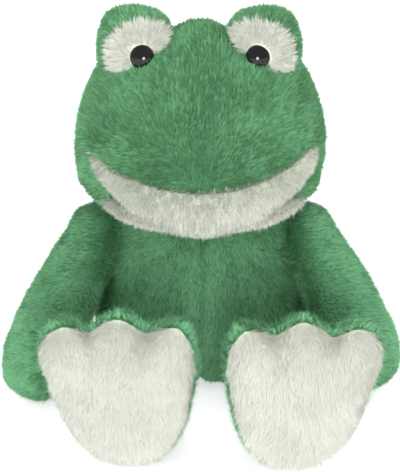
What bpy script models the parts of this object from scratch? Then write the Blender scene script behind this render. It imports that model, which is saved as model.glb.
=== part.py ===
"""A seated plush frog, built as its maker sews it.

Furry fabric panels lie over polyester stuffing. The frog sits on the floor and faces -Y, with +X on its left
and +Z up. The origin is on the floor, in the middle of the space that the frog takes. All sizes are in metres
and degrees.
"""

import math

import bpy
import numpy as np
from mathutils import Matrix, Vector

# Fabric and fits
skin = 0.005
fit_gap = 0.0003
floor_cut = 0.0005
cutter_reach = 0.5

# Torso
torso_width = 0.188
torso_depth = 0.140
torso_height = 0.168
torso_middle_x = 0.0015
torso_middle_y = 0.0755
neck_height = 0.150
side_seam_offset = 0.008
torso_ring_shares = (
    (0.00, 0.60, 0.00),
    (0.07, 0.90, 0.00),
    (0.28, 1.08, -0.02),
    (0.56, 0.98, 0.00),
    (0.82, 0.80, 0.03),
    (1.00, 0.54, 0.04),
)

# Bag of plastic pellets that weighs the seat down
pellet_bag_width = 0.110
pellet_bag_depth = 0.072
pellet_bag_height = 0.030
pellet_bag_rise = 0.014

# Arms
flank_tilt = {"right": 28.5, "left": 27.0}
flank_turn = {"right": 15.0, "left": 14.0}
flank_seat_depth = 0.0040
shoulder_height = 0.115
shoulder_y = 0.0675
arm_lean = {"right": 24.0, "left": 20.0}
arm_length = {"right": 0.1485, "left": 0.1400}
arm_top = 0.027
arm_half_width = 0.040
arm_inner_depth = 0.021
arm_outer_depth = {"right": 0.0360, "left": 0.0375}
arm_opening_radius = 0.012
arm_ring_shares = (
    (0.00, 0.54, 0.36, 0.50),
    (0.13, 0.86, 0.60, 1.30),
    (0.44, 0.96, 0.96, 1.00),
    (0.78, 1.08, 1.08, 1.00),
    (0.95, 0.82, 0.80, 0.86),
    (1.00, 0.42, 0.44, 0.46),
)

# Legs
hip_spread = {"right": 0.050, "left": 0.052}
hip_y = 0.0075
hip_radius = 0.033
ankle_spread = {"right": 0.053, "left": 0.064}
ankle_y = {"right": -0.0760, "left": -0.0825}
ankle_radius = 0.028
leg_end_angle = 38.0
leg_pole_share = 0.94
leg_settle = 0.0022
leg_opening_radius = 0.014

# Feet
foot_spread = {"right": 0.059, "left": 0.0745}
foot_y = {"right": -0.1085, "left": -0.1150}
foot_rise = 0.0584
foot_half_width = 0.0605
foot_half_length = 0.0625
sole_depth = 0.025
upper_depth = 0.029
foot_lean = 6.0
foot_turn = 4.0
sole_seam_offset = 0.010
foot_outline_shares = (
    (0.02, 1.02),
    (0.22, 0.95),
    (0.42, 0.74),
    (0.60, 0.88),
    (0.84, 0.90),
    (1.04, 0.72),
    (1.10, 0.42),
    (0.90, 0.00),
    (0.74, -0.54),
    (0.34, -0.94),
    (-0.26, -1.04),
    (-0.76, -0.72),
    (-0.92, -0.10),
    (-1.02, 0.46),
    (-0.88, 0.88),
    (-0.64, 0.94),
    (-0.34, 0.77),
    (-0.18, 0.93),
)
foot_layer_shares = (
    (0.60, 0.96),
    (0.97, 0.52),
    (1.00, -0.32),
    (0.68, -0.98),
)

# Head
head_width = 0.203
head_front = 0.088
head_back = 0.080
head_height = 0.162
head_base = 0.146
head_middle_y = 0.0515
neck_turn_y = 0.0715
head_ring_shares = (
    (0.00, 0.56, 0.56, 0.56),
    (0.07, 0.87, 0.83, 0.81),
    (0.24, 1.06, 1.05, 0.99),
    (0.46, 1.08, 1.05, 1.08),
    (0.69, 0.97, 0.89, 1.00),
    (0.86, 0.80, 0.66, 0.80),
    (1.00, 0.46, 0.36, 0.44),
)
face_seam_offset = 0.012

# Cream lip that runs round the lower front of the head, and the chin under it that puffs out at either side
mouth_middle_x = 0.0025
mouth_rise_power = 1.6
lip_reach = 0.0855
lip_side_reach = 0.0975
lip_middle_height = 0.1735
lip_end_rise = 0.040
lip_half_angle = 65.0
lip_half_height = 0.0185
lip_half_depth = 0.0155
lip_filled_share = 0.80
lip_taper_shares = (0.36, 0.62, 0.76, 0.88, 1.06, 0.88, 0.76, 0.62, 0.36)
chin_reach = 0.0770
chin_side_reach = 0.0930
chin_middle_height = 0.1615
chin_end_rise = 0.010
chin_half_angle = 56.0
chin_half_height = 0.0120
chin_half_depth = 0.0130
chin_taper_shares = (0.45, 0.90, 1.10, 0.95, 0.80, 0.95, 1.10, 0.90, 0.45)

# Eye bumps, with their eyes
bump_spread = 0.0515
bump_y = 0.0335
bump_drop = 0.025
bump_height = head_base + head_height - bump_drop
bump_half_width = 0.0340
bump_half_depth = 0.0290
bump_half_height = 0.0430
bump_tilt = -4.0
bump_seam_offset = 0.010
bump_seam_turn = 12.0
bump_ring_shares = (
    (-0.77, 0.66),
    (-0.09, 1.00),
    (0.53, 0.98),
    (0.90, 0.75),
)
eye_spread = 0.0455
eye_lift = 0.0055
eye_height = bump_height + eye_lift
eye_radius = 0.0097
eye_bulge = 0.0068
eye_turn = 6.0
eye_raise = 10.0
eye_rim = 0.0012
eye_sink = 0.0026
shank_radius = 0.0022
shank_length = 0.0150
washer_radius = 0.0075
washer_thickness = 0.0016
sweep_weld = 0.00001

# How finely each form is drawn
torso_sides = 10
head_sides = 10
arm_sides = 8
leg_sides = 6
lip_sides = 6
bump_sides = 8
ball_sides = 16
round_sides = 16
dome_steps = 5

SIDES = {"right": -1.0, "left": 1.0}


def clear_scene():
    for item in list(bpy.data.objects):
        bpy.data.objects.remove(item, do_unlink=True)


def new_collection(name):
    group = bpy.data.collections.new(name)
    bpy.context.scene.collection.children.link(group)
    return group


def material(name, colour, roughness, metallic=0.0):
    made = bpy.data.materials.new(name)
    made.use_nodes = True
    shader = made.node_tree.nodes["Principled BSDF"]
    shader.inputs["Base Color"].default_value = (*colour, 1.0)
    shader.inputs["Roughness"].default_value = roughness
    shader.inputs["Metallic"].default_value = metallic
    return made


clear_scene()
parts = new_collection("plush_frog")
guides = new_collection("forms_and_cutters")

green_plush = material("green_plush", (0.090, 0.260, 0.115), 0.95)
cream_plush = material("cream_plush", (0.700, 0.720, 0.620), 0.95)
stuffing = material("polyester_stuffing", (0.850, 0.850, 0.840), 0.95)
pellet_cloth = material("pellet_bag_cloth", (0.620, 0.600, 0.560), 0.90)
eye_plastic = material("eye_plastic", (0.004, 0.004, 0.005), 0.10)
washer_plastic = material("washer_plastic", (0.750, 0.750, 0.740), 0.45)


# Moves and meshes


def turned(points, axis, degrees, about=(0.0, 0.0, 0.0)):
    """Points turned about a line through about, by the rule for a rotation about an axis."""
    axis = np.asarray(axis, float) / np.linalg.norm(axis)
    about = np.asarray(about, float)
    angle = math.radians(degrees)
    arm = np.asarray(points, float) - about
    along = (arm @ axis)[..., None] * axis
    return about + along + (arm - along) * math.cos(angle) + np.cross(axis, arm) * math.sin(angle)


def smoothing_loss(count):
    """How far one subdivision draws a ring of this many points in towards its middle."""
    return (6.0 + 2.0 * math.cos(2.0 * math.pi / count)) / 8.0


def mesh_object(name, points, faces, group):
    mesh = bpy.data.meshes.new(name)
    mesh.from_pydata([tuple(p) for p in points], [], faces)
    mesh.update()
    made = bpy.data.objects.new(name, mesh)
    group.objects.link(made)
    if group is guides:
        made.hide_render = True
        made.display_type = "WIRE"
    return made


def lofted(name, rings, first_pole, last_pole, group):
    """A closed cage: rings of points joined by quads, with a fan of triangles to a pole at each end."""
    rings = np.asarray(rings, float)
    layers, count, _ = rings.shape
    points = np.concatenate([rings.reshape(-1, 3), [first_pole, last_pole]])
    faces = []
    for layer in range(layers - 1):
        low = layer * count
        high = low + count
        for i in range(count):
            j = (i + 1) % count
            faces.append((low + i, low + j, high + j, high + i))
    last = (layers - 1) * count
    for i in range(count):
        j = (i + 1) % count
        faces.append((j, i, layers * count))
        faces.append((last + i, last + j, layers * count + 1))
    return mesh_object(name, points, faces, group)


def soft_form(name, rings, first_pole, last_pole):
    """A swelling, tapering form: a coarse cage smoothed by one subdivision."""
    form = lofted(name + "_form", rings, first_pole, last_pole, guides)
    smooth = form.modifiers.new("smooth", "SUBSURF")
    smooth.levels = 1
    smooth.render_levels = 1
    return form


def grown(form, name, distance):
    """The same form with its surface moved out by a distance, or in by a negative one."""
    made = form.copy()
    made.name = name
    guides.objects.link(made)
    move = made.modifiers.new("grow", "DISPLACE")
    move.mid_level = 0.0
    move.strength = distance
    return made


def box(name, low, high):
    """A cutter between two corners."""
    bpy.ops.mesh.primitive_cube_add(size=cutter_reach)
    made = bpy.context.object
    low = np.asarray(low, float)
    high = np.asarray(high, float)
    for vertex in made.data.vertices:
        share = np.asarray(vertex.co) / cutter_reach + 0.5
        vertex.co = tuple(low + share * (high - low))
    return as_cutter(made, name)


def ball(name, centre, radius):
    """A round cutter whose facets lie outside the radius."""
    outside = radius / math.cos(math.pi / ball_sides) ** 2
    bpy.ops.mesh.primitive_uv_sphere_add(
        segments=ball_sides, ring_count=ball_sides // 2, radius=outside, location=centre
    )
    return as_cutter(bpy.context.object, name)


def rod(name, start, direction, radius, length):
    """A round bar that runs from a point along a direction."""
    direction = np.asarray(direction, float) / np.linalg.norm(direction)
    bpy.ops.mesh.primitive_cylinder_add(vertices=round_sides, radius=radius, depth=length)
    made = bpy.context.object
    aim(made, np.asarray(start) + direction * length / 2.0, direction)
    return as_cutter(made, name)


def aim(item, place, direction):
    """Places an object with its own +Z along a direction."""
    item.rotation_mode = "QUATERNION"
    item.rotation_quaternion = Vector(direction).to_track_quat("Z", "Y")
    item.location = place


def as_cutter(item, name):
    item.name = name
    for group in list(item.users_collection):
        group.objects.unlink(item)
    guides.objects.link(item)
    item.hide_render = True
    item.display_type = "WIRE"
    return item


def cut(item, cutter, operation="DIFFERENCE"):
    step = item.modifiers.new(operation.lower() + "_" + cutter.name, "BOOLEAN")
    step.operation = operation
    step.object = cutter


def finished(form, name, finish, steps):
    """A part made from a form: its own mesh, a material, and then each step in turn."""
    made = form.copy()
    made.data = form.data.copy()
    made.name = name
    made.hide_render = False
    made.display_type = "TEXTURED"
    parts.objects.link(made)
    made.data.materials.clear()
    made.data.materials.append(finish)
    made.data.shade_smooth()
    for operation, value in steps:
        if operation == "wall":
            wall = made.modifiers.new("wall", "SOLIDIFY")
            wall.thickness = value
            wall.offset = -1.0
        elif operation == "fill":
            fill = made.modifiers.new("fill", "DISPLACE")
            fill.mid_level = 0.0
            fill.strength = -value
        else:
            cut(made, value, operation)
    return made


# Forms


def upright_ring(middle, half_width, front, back, count):
    """A level ring: half_width across, and front or back deep on either side of its middle."""
    turn = np.arange(count) * 2.0 * math.pi / count
    depth = np.where(np.sin(turn) < 0.0, front, back)
    points = [half_width * np.cos(turn), depth * np.sin(turn), np.zeros(count)]
    return np.asarray(middle) + np.stack(points, axis=-1)


def torso_form():
    rings = []
    for rise, swell, shift in torso_ring_shares:
        middle = (torso_middle_x, torso_middle_y + shift * torso_depth, rise * torso_height - floor_cut)
        depth = swell * torso_depth / 2.0
        rings.append(upright_ring(middle, swell * torso_width / 2.0, depth, depth, torso_sides))
    top_y = torso_middle_y + torso_ring_shares[-1][2] * torso_depth
    return soft_form(
        "torso",
        rings,
        (torso_middle_x, torso_middle_y, -floor_cut),
        (torso_middle_x, top_y, torso_height),
    )


def head_form():
    rings = []
    for rise, swell, front, back in head_ring_shares:
        middle = (0.0, head_middle_y, head_base + rise * head_height)
        rings.append(
            upright_ring(middle, swell * head_width / 2.0, front * head_front, back * head_back, head_sides)
        )
    middle = (0.0, head_middle_y)
    return soft_form("head", rings, (*middle, head_base), (*middle, head_base + head_height))


def flank_normal(side):
    """The way that the flat seam of an arm faces: out, up and a little forward from the torso."""
    tilt = math.radians(flank_tilt[side])
    level = turned([SIDES[side], 0.0, 0.0], (0.0, 0.0, 1.0), -flank_turn[side] * SIDES[side])
    return level * math.cos(tilt) + np.array([0.0, 0.0, math.sin(tilt)])


def shoulder(side):
    """The middle of the arm's seam: on a plane that shaves a flat seat on the torso's flank."""
    out = flank_normal(side)
    reach = (smoothed_points(torso) @ out).max() - flank_seat_depth
    sideways = (reach - shoulder_y * out[1] - shoulder_height * out[2]) / out[0]
    return np.array([sideways, shoulder_y, shoulder_height])


def arm_form(side):
    """A flattened teardrop that lies along the flank, swung forward from straight down."""
    out = flank_normal(side)
    level = np.cross((0.0, 0.0, 1.0), out)
    down = np.cross(level, out) / np.linalg.norm(level)
    along = turned(down, out, -arm_lean[side] * SIDES[side])
    across = np.cross(out, along)
    start = shoulder(side) + out * arm_inner_depth
    turn = np.arange(arm_sides) * 2.0 * math.pi / arm_sides
    rings = []
    for reach, width, outer, inner in arm_ring_shares:
        middle = start + along * (reach * (arm_length[side] + arm_top) - arm_top)
        thick = np.where(np.sin(turn) < 0.0, arm_inner_depth * inner, arm_outer_depth[side] * outer)
        rings.append(
            middle
            + np.outer(width * arm_half_width * np.cos(turn), across)
            + np.outer(thick * np.sin(turn), out)
        )
    first = start - along * arm_top
    last = start + along * arm_length[side]
    form = soft_form("arm_" + side, rings, first, last)
    gap = ((smoothed_points(form) - shoulder(side)) @ out).min()
    form.data.transform(Matrix.Translation(Vector(out * (fit_gap - gap))))
    return form


def hip(side):
    rise = hip_radius * smoothing_loss(leg_sides) - leg_settle
    return np.array([SIDES[side] * hip_spread[side], hip_y, rise])


def ankle(side):
    rise = ankle_radius * smoothing_loss(leg_sides) - leg_settle
    return np.array([SIDES[side] * ankle_spread[side], ankle_y[side], rise])


def leg_form(side):
    """A tapering tube with a round end about the hip and another about the ankle."""
    start = hip(side)
    end = ankle(side)
    length = np.linalg.norm(end - start)
    along = (end - start) / length
    across = np.cross(along, (0.0, 0.0, 1.0))
    across = across / np.linalg.norm(across)
    rise = np.cross(along, across)
    turn = np.arange(leg_sides) * 2.0 * math.pi / leg_sides
    circle = np.outer(np.cos(turn), across) + np.outer(np.sin(turn), rise)
    rings = []
    for angle in (-leg_end_angle, 0.0):
        angle = math.radians(angle)
        rings.append(start + along * hip_radius * math.sin(angle) + circle * hip_radius * math.cos(angle))
    for angle in (0.0, leg_end_angle):
        angle = math.radians(angle)
        rings.append(end + along * ankle_radius * math.sin(angle) + circle * ankle_radius * math.cos(angle))
    first = start - along * hip_radius * leg_pole_share
    last = end + along * ankle_radius * leg_pole_share
    return soft_form("leg_" + side, rings, first, last)


def foot_frame(side):
    """Middle of the foot, then the ways across (outwards), up the sole and out of the sole."""
    axes = np.array([[SIDES[side], 0.0, 0.0], [0.0, 0.0, 1.0], [0.0, -1.0, 0.0]])
    axes = turned(axes, (1.0, 0.0, 0.0), -foot_lean)
    return turned(axes, (0.0, 0.0, 1.0), foot_turn * SIDES[side])


def foot_form(side):
    """Layers of the foot's outline, from the sole's middle out over the rim to the upper's middle."""
    across, up, out = foot_frame(side)
    middle = np.array([SIDES[side] * foot_spread[side], foot_y[side], foot_rise])
    outline = np.array(foot_outline_shares)
    rings = []
    for spread, lift in foot_layer_shares:
        depth = sole_depth if lift > 0.0 else upper_depth
        rings.append(
            middle
            + np.outer(outline[:, 0] * spread * foot_half_width, across)
            + np.outer(outline[:, 1] * spread * foot_half_length, up)
            + out * lift * depth
        )
    rings = np.array(rings[::-1])
    if SIDES[side] > 0.0:
        rings = rings[:, ::-1]
    return soft_form("foot_" + side, rings, middle - out * upper_depth, middle + out * sole_depth)


def band_form(name, reach, side_reach, half_depth, half_height, middle_height, end_rise, half_angle, tapers):
    """A band bent round the lower front of the head, higher at its ends and thicker in its middle."""
    turn = np.arange(lip_sides) * 2.0 * math.pi / lip_sides
    rings = []
    for share, taper in zip(np.linspace(1.0, -1.0, len(tapers)), tapers):
        angle = math.radians(half_angle * share)
        outward = np.array([math.sin(angle), -math.cos(angle), 0.0])
        across = mouth_middle_x + side_reach * math.sin(angle)
        height = middle_height + end_rise * abs(share) ** mouth_rise_power
        middle = np.array([across, head_middle_y - reach * math.cos(angle), height])
        rings.append(
            middle
            + np.outer(half_depth * taper * np.cos(turn), outward)
            + np.outer(half_height * taper * np.sin(turn), (0.0, 0.0, 1.0))
        )
    return soft_form(name, rings, np.mean(rings[0], axis=0), np.mean(rings[-1], axis=0))


def bump_form(side):
    """An upright dome, leaning outwards a little, whose foot is inside the head."""
    middle = np.array([SIDES[side] * bump_spread, bump_y, bump_height])
    turn = np.arange(bump_sides) * 2.0 * math.pi / bump_sides
    rings = []
    for lift, swell in bump_ring_shares:
        ring = [
            bump_half_width * swell * np.cos(turn),
            bump_half_depth * swell * np.sin(turn),
            np.full(bump_sides, bump_half_height * lift),
        ]
        rings.append(middle + np.stack(ring, axis=-1))
    pole = np.array([0.0, 0.0, bump_half_height])
    tilt = bump_tilt * SIDES[side]
    rings = turned(rings, (0.0, 1.0, 0.0), tilt, middle)
    ends = turned([middle - pole, middle + pole], (0.0, 1.0, 0.0), tilt, middle)
    return soft_form("bump_" + side, rings, ends[0], ends[1])


# Measures taken from the smoothed forms


def smoothed_points(form):
    """The points of a form after its smoothing."""
    graph = bpy.context.evaluated_depsgraph_get()
    mesh = form.evaluated_get(graph).data
    points = np.empty(len(mesh.vertices) * 3)
    mesh.vertices.foreach_get("co", points)
    return points.reshape(-1, 3)


def end_radius(form, centre, outward):
    """The radius about a joint that a form's round end needs."""
    arm = smoothed_points(form) - centre
    return np.linalg.norm(arm[arm @ outward > 0.0], axis=1).max()


def facing_point(form, x, z):
    """Where a form's front meets the level line that runs back at x and z."""
    graph = bpy.context.evaluated_depsgraph_get()
    start = Vector((x, -cutter_reach, z))
    _, place, _, _ = form.evaluated_get(graph).ray_cast(start, Vector((0.0, 1.0, 0.0)))
    return np.array(place)


def half_space(name, place, direction):
    """A cutter that takes all that lies past a plane."""
    made = box(name, (-cutter_reach, -cutter_reach, 0.0), (cutter_reach, cutter_reach, cutter_reach))
    aim(made, place, direction)
    return made


def turned_piece(name, profile, place, direction, group, closed):
    """A round piece: a profile of (radius, height) points swept about its own +Z, aimed along a direction."""
    count = len(profile)
    mesh = bpy.data.meshes.new(name)
    edges = [(i, (i + 1) % count) for i in range(count if closed else count - 1)]
    mesh.from_pydata([(radius, 0.0, height) for radius, height in profile], edges, [])
    made = bpy.data.objects.new(name, mesh)
    group.objects.link(made)
    sweep = made.modifiers.new("sweep", "SCREW")
    sweep.steps = round_sides
    sweep.render_steps = round_sides
    sweep.use_merge_vertices = True
    sweep.merge_threshold = sweep_weld
    aim(made, place, direction)
    if group is guides:
        made.hide_render = True
        made.display_type = "WIRE"
    return made


# Cutters that several parts share

far = np.full(3, cutter_reach)
torso = torso_form()
head = head_form()
below_floor = box("below_floor", -far, (*far[:2], 0.0))
above_neck = box("above_neck", (*-far[:2], neck_height), far)
below_neck = box("below_neck", -far, (*far[:2], neck_height + fit_gap))
head_outside = grown(head, "head_outside", fit_gap)
half_gap = fit_gap / 2.0
fill_depth = skin + fit_gap


def leg_axis(side):
    reach = ankle(side) - hip(side)
    return reach / np.linalg.norm(reach)


legs = {side: leg_form(side) for side in SIDES}
hip_balls = {}
ankle_balls = {}
for side in SIDES:
    hip_size = end_radius(legs[side], hip(side), -leg_axis(side)) + fit_gap
    hip_balls[side] = ball("hip_ball_" + side, hip(side), hip_size)
    ankle_size = end_radius(legs[side], ankle(side), leg_axis(side)) + fit_gap
    ankle_balls[side] = ball("ankle_ball_" + side, ankle(side), ankle_size)


# Torso


def make_torso():
    opened = [("DIFFERENCE", above_neck), ("DIFFERENCE", below_floor)]
    for side in SIDES:
        flank = half_space("flank_" + side, shoulder(side), flank_normal(side))
        opened.append(("DIFFERENCE", flank))
        opened.append(("DIFFERENCE", hip_balls[side]))
    seam_y = torso_middle_y + side_seam_offset
    front = seam_y - half_gap
    panels = {
        "belly_panel_right": box("belly_right_space", -far, (torso_middle_x - half_gap, front, cutter_reach)),
        "belly_panel_left": box(
            "belly_left_space",
            (torso_middle_x + half_gap, -cutter_reach, -cutter_reach),
            (cutter_reach, front, cutter_reach),
        ),
        "back_panel": box("back_space", (-cutter_reach, seam_y + half_gap, -cutter_reach), far),
    }
    for name, space in panels.items():
        finished(torso, name, green_plush, [("wall", skin), *opened, ("INTERSECT", space)])
    inside = grown(torso, "torso_inside", -fill_depth)
    bag = pellet_bag_form()
    finished(bag, "pellet_bag", pellet_cloth, [("INTERSECT", inside)])
    bag_space = grown(bag, "pellet_bag_space", fit_gap)
    finished(
        torso,
        "torso_stuffing",
        stuffing,
        [("fill", fill_depth), *opened, ("DIFFERENCE", bag_space)],
    )


def pellet_bag_form():
    """A low round bag whose underside is flattened by the torso's own lining."""
    rings = []
    for angle in (-45.0, 0.0, 45.0):
        angle = math.radians(angle)
        rise = pellet_bag_rise + pellet_bag_height / 2.0 * math.sin(angle)
        middle = (torso_middle_x, torso_middle_y, rise)
        half_width = pellet_bag_width / 2.0 * math.cos(angle)
        half_depth = pellet_bag_depth / 2.0 * math.cos(angle)
        rings.append(upright_ring(middle, half_width, half_depth, half_depth, bump_sides))
    low = (torso_middle_x, torso_middle_y, pellet_bag_rise - pellet_bag_height / 2.0)
    high = (torso_middle_x, torso_middle_y, pellet_bag_rise + pellet_bag_height / 2.0)
    return soft_form("pellet_bag", rings, low, high)


# Head


def make_head(eye_spaces):
    opened = [("DIFFERENCE", below_neck), *(("DIFFERENCE", space) for space in eye_spaces)]
    seam_y = head_middle_y + face_seam_offset
    front = box("face_space", -far, (*far[:1], seam_y - half_gap, cutter_reach))
    back = box("head_back_space", (-cutter_reach, seam_y + half_gap, -cutter_reach), far)
    finished(head, "face_panel", green_plush, [("wall", skin), *opened, ("INTERSECT", front)])
    finished(head, "head_back_panel", green_plush, [("wall", skin), *opened, ("INTERSECT", back)])
    finished(head, "head_stuffing", stuffing, [("fill", fill_depth), *opened])


def lip_form(name, wall, share):
    """The lip, or with a wall the room inside it, which ends short of the lip's tips."""
    return band_form(
        name,
        lip_reach,
        lip_side_reach,
        lip_half_depth - wall,
        lip_half_height - wall,
        lip_middle_height,
        lip_end_rise * share**mouth_rise_power,
        lip_half_angle * share,
        lip_taper_shares,
    )


def make_mouth():
    lip = lip_form("lip", 0.0, 1.0)
    room = lip_form("lip_room", skin, lip_filled_share + fit_gap / lip_reach)
    filling = lip_form("lip_filling", fill_depth, lip_filled_share)
    chin = band_form(
        "chin",
        chin_reach,
        chin_side_reach,
        chin_half_depth,
        chin_half_height,
        chin_middle_height,
        chin_end_rise,
        chin_half_angle,
        chin_taper_shares,
    )
    behind = ("DIFFERENCE", head_outside)
    finished(lip, "lip_panel", cream_plush, [("DIFFERENCE", room), behind])
    finished(filling, "lip_stuffing", stuffing, [behind])
    lip_outside = grown(lip, "lip_outside", fit_gap)
    finished(chin, "chin_panel", cream_plush, [behind, ("DIFFERENCE", lip_outside)])


def eye_profile(extra):
    """The eye's outline from the top of its dome, over its rim, and down its shank, grown by a clearance."""
    dome = []
    for angle in np.radians(np.linspace(90.0, 0.0, dome_steps)):
        dome.append(((eye_radius + extra) * math.cos(angle), (eye_bulge + extra) * math.sin(angle)))
    dome[0] = (0.0, eye_bulge + extra)
    shank = shank_radius + extra
    under_rim = -eye_rim - extra
    shank_end = -shank_length - extra
    return [*dome, (eye_radius + extra, under_rim), (shank, under_rim), (shank, shank_end), (0.0, shank_end)]


def washer_profile(inner, outer, low, high):
    return [(inner, high), (outer, high), (outer, low), (inner, low)]


def make_bump(side):
    bump = bump_form(side)
    seam = np.array([SIDES[side] * bump_spread, bump_y - bump_seam_offset, bump_height])
    towards_back = turned([0.0, 1.0, 0.0], (0.0, 0.0, 1.0), -bump_seam_turn * SIDES[side])
    behind = half_space("behind_bump_seam_" + side, seam + towards_back * half_gap, towards_back)
    ahead = half_space("ahead_of_bump_seam_" + side, seam - towards_back * half_gap, -towards_back)
    finished(
        bump,
        "bump_back_" + side,
        green_plush,
        [("wall", skin), ("DIFFERENCE", head_outside), ("INTERSECT", behind)],
    )
    facing = turned([0.0, -1.0, 0.0], (0.0, 0.0, 1.0), eye_turn * SIDES[side])
    facing = turned(facing, np.cross(facing, (0.0, 0.0, 1.0)), eye_raise)
    seat = facing_point(bump, SIDES[side] * eye_spread, eye_height) - facing * eye_sink
    eye = turned_piece("eye_" + side, eye_profile(0.0), seat, facing, parts, False)
    eye.data.materials.append(eye_plastic)
    eye_space = turned_piece("eye_space_" + side, eye_profile(fit_gap), seat, facing, guides, False)
    low = -eye_rim - skin - washer_thickness
    high = low + washer_thickness
    washer = turned_piece(
        "eye_washer_" + side,
        washer_profile(shank_radius + fit_gap, washer_radius, low, high),
        seat,
        facing,
        parts,
        True,
    )
    washer.data.materials.append(washer_plastic)
    washer_space = rod(
        "washer_space_" + side,
        seat + facing * (low - fit_gap),
        facing,
        washer_radius + fit_gap,
        washer_thickness + 2.0 * fit_gap,
    )
    around_eye = [("DIFFERENCE", eye_space), ("DIFFERENCE", washer_space)]
    finished(
        bump,
        "eye_patch_" + side,
        cream_plush,
        [("wall", skin), ("DIFFERENCE", head_outside), ("INTERSECT", ahead), *around_eye],
    )
    finished(
        bump,
        "bump_stuffing_" + side,
        stuffing,
        [("fill", fill_depth), ("DIFFERENCE", head_outside), *around_eye],
    )
    return eye_space, washer_space


# Limbs


def make_arm(side):
    arm = arm_form(side)
    out = flank_normal(side)
    opening = rod(
        "arm_opening_" + side,
        shoulder(side) - out * skin,
        out,
        arm_opening_radius,
        skin + fit_gap + arm_inner_depth,
    )
    finished(
        arm,
        "arm_skin_" + side,
        green_plush,
        [("wall", skin), ("DIFFERENCE", opening), ("DIFFERENCE", below_floor)],
    )
    finished(arm, "arm_stuffing_" + side, stuffing, [("fill", fill_depth)])


def make_leg(side):
    leg = legs[side]
    root = hip(side) - leg_axis(side) * hip_radius
    opening = rod("leg_opening_" + side, root, leg_axis(side), leg_opening_radius, hip_radius)
    finished(
        leg,
        "leg_skin_" + side,
        green_plush,
        [("wall", skin), ("DIFFERENCE", opening), ("DIFFERENCE", below_floor)],
    )
    finished(leg, "leg_stuffing_" + side, stuffing, [("fill", fill_depth)])


def make_foot(side):
    foot = foot_form(side)
    out = foot_frame(side)[2]
    middle = np.array([SIDES[side] * foot_spread[side], foot_y[side], foot_rise])
    seam = middle + out * sole_seam_offset
    ahead = half_space("ahead_of_sole_seam_" + side, seam + out * half_gap, out)
    behind = half_space("behind_sole_seam_" + side, seam - out * half_gap, -out)
    around = [("DIFFERENCE", ankle_balls[side]), ("DIFFERENCE", below_floor)]
    finished(foot, "foot_sole_" + side, cream_plush, [("wall", skin), *around, ("INTERSECT", ahead)])
    finished(foot, "foot_upper_" + side, green_plush, [("wall", skin), *around, ("INTERSECT", behind)])
    finished(foot, "foot_stuffing_" + side, stuffing, [("fill", fill_depth), *around])


# Joints: each moving group hangs on an empty that stands on the line it turns about


def hang(name, place, starts, base=None):
    """Hangs the parts whose names start in one of these ways on an empty, without moving them."""
    pivot = bpy.data.objects.new(name, None)
    pivot.location = place
    parts.objects.link(pivot)
    back = Matrix.Translation(Vector(place)).inverted()
    for item in [*parts.objects]:
        if item.type == "MESH" and item.name.startswith(starts):
            item.parent = pivot
            item.matrix_parent_inverse = back
    if base is not None:
        pivot.parent = base
        pivot.matrix_parent_inverse = Matrix.Translation(base.location).inverted()
    return pivot


make_torso()
make_head([space for side in SIDES for space in make_bump(side)])
make_mouth()
hang("neck_pivot", (0.0, neck_turn_y, neck_height), ("face_", "head_", "lip_", "chin_", "bump_", "eye_"))
for side in SIDES:
    make_arm(side)
    make_leg(side)
    make_foot(side)
    hang("shoulder_pivot_" + side, shoulder(side), ("arm_skin_" + side, "arm_stuffing_" + side))
    hip_pivot = hang("hip_pivot_" + side, hip(side), ("leg_skin_" + side, "leg_stuffing_" + side))
    foot_starts = ("foot_sole_" + side, "foot_upper_" + side, "foot_stuffing_" + side)
    hang("ankle_pivot_" + side, ankle(side), foot_starts, hip_pivot)
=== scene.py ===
"""The looks of a seated plush frog: stuffed fabric forms, the pile that grows on them, and two glossy eyes.

The frog sits on the floor and faces -Y, with +X on its left and +Z up. Lengths are in metres and angles in degrees,
except where a name ends in mm. Each form repeats the rings that its CAD solid is built from.
"""

import math

import bpy
import numpy as np
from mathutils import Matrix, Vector


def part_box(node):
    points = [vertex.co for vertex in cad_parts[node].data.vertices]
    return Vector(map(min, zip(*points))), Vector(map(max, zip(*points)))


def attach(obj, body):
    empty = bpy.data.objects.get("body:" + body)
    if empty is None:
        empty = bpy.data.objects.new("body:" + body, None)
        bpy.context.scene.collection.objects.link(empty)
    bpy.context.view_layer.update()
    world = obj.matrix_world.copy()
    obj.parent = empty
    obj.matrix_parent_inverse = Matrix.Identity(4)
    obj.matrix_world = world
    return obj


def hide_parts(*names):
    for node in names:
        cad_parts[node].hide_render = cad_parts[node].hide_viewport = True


SIDES = {"right": -1.0, "left": 1.0}

# Camera
CAMERA_RAISE = 18.0
CAMERA_DISTANCE = 1.10
CAMERA_TARGET = (0.0, -0.080, 0.170)
CAMERA_LENS_MM = 111.9
CAMERA_FILM_MM = 36.0

# Kinds of pile: a strand's length and width, how far its root lies under the fabric's outer face, and a tuft's width.
# A strand leans from the normal, and bends further over. gather is how far its tip is drawn into its tuft, strays the
# share of long upright strands, and facing how unevenly the ribbons turn. tone and uneven place and spread its colour.
GREEN_PILE = {
    "length": 0.0066,
    "root": 0.0036,
    "width": 0.00042,
    "lean": 44.0,
    "bend": 20.0,
    "clump": 0.0030,
    "gather": 0.42,
    "strays": 0.07,
    "facing": 0.20,
    "tone": 0.26,
    "uneven": 0.95,
}
# Painted light: the body, arms and foot uppers take the head's green pile at a higher tone, to make up for the shade
# they get under the head, and the head's lower tone is painted shade
BODY_PILE_PAINTED_LIGHTER = {**GREEN_PILE, "tone": 0.88, "uneven": 1.7}
CREAM_PILE = {**GREEN_PILE, "clump": 0.0040, "strays": 0.04, "tone": 0.30, "uneven": 0.6}
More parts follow.
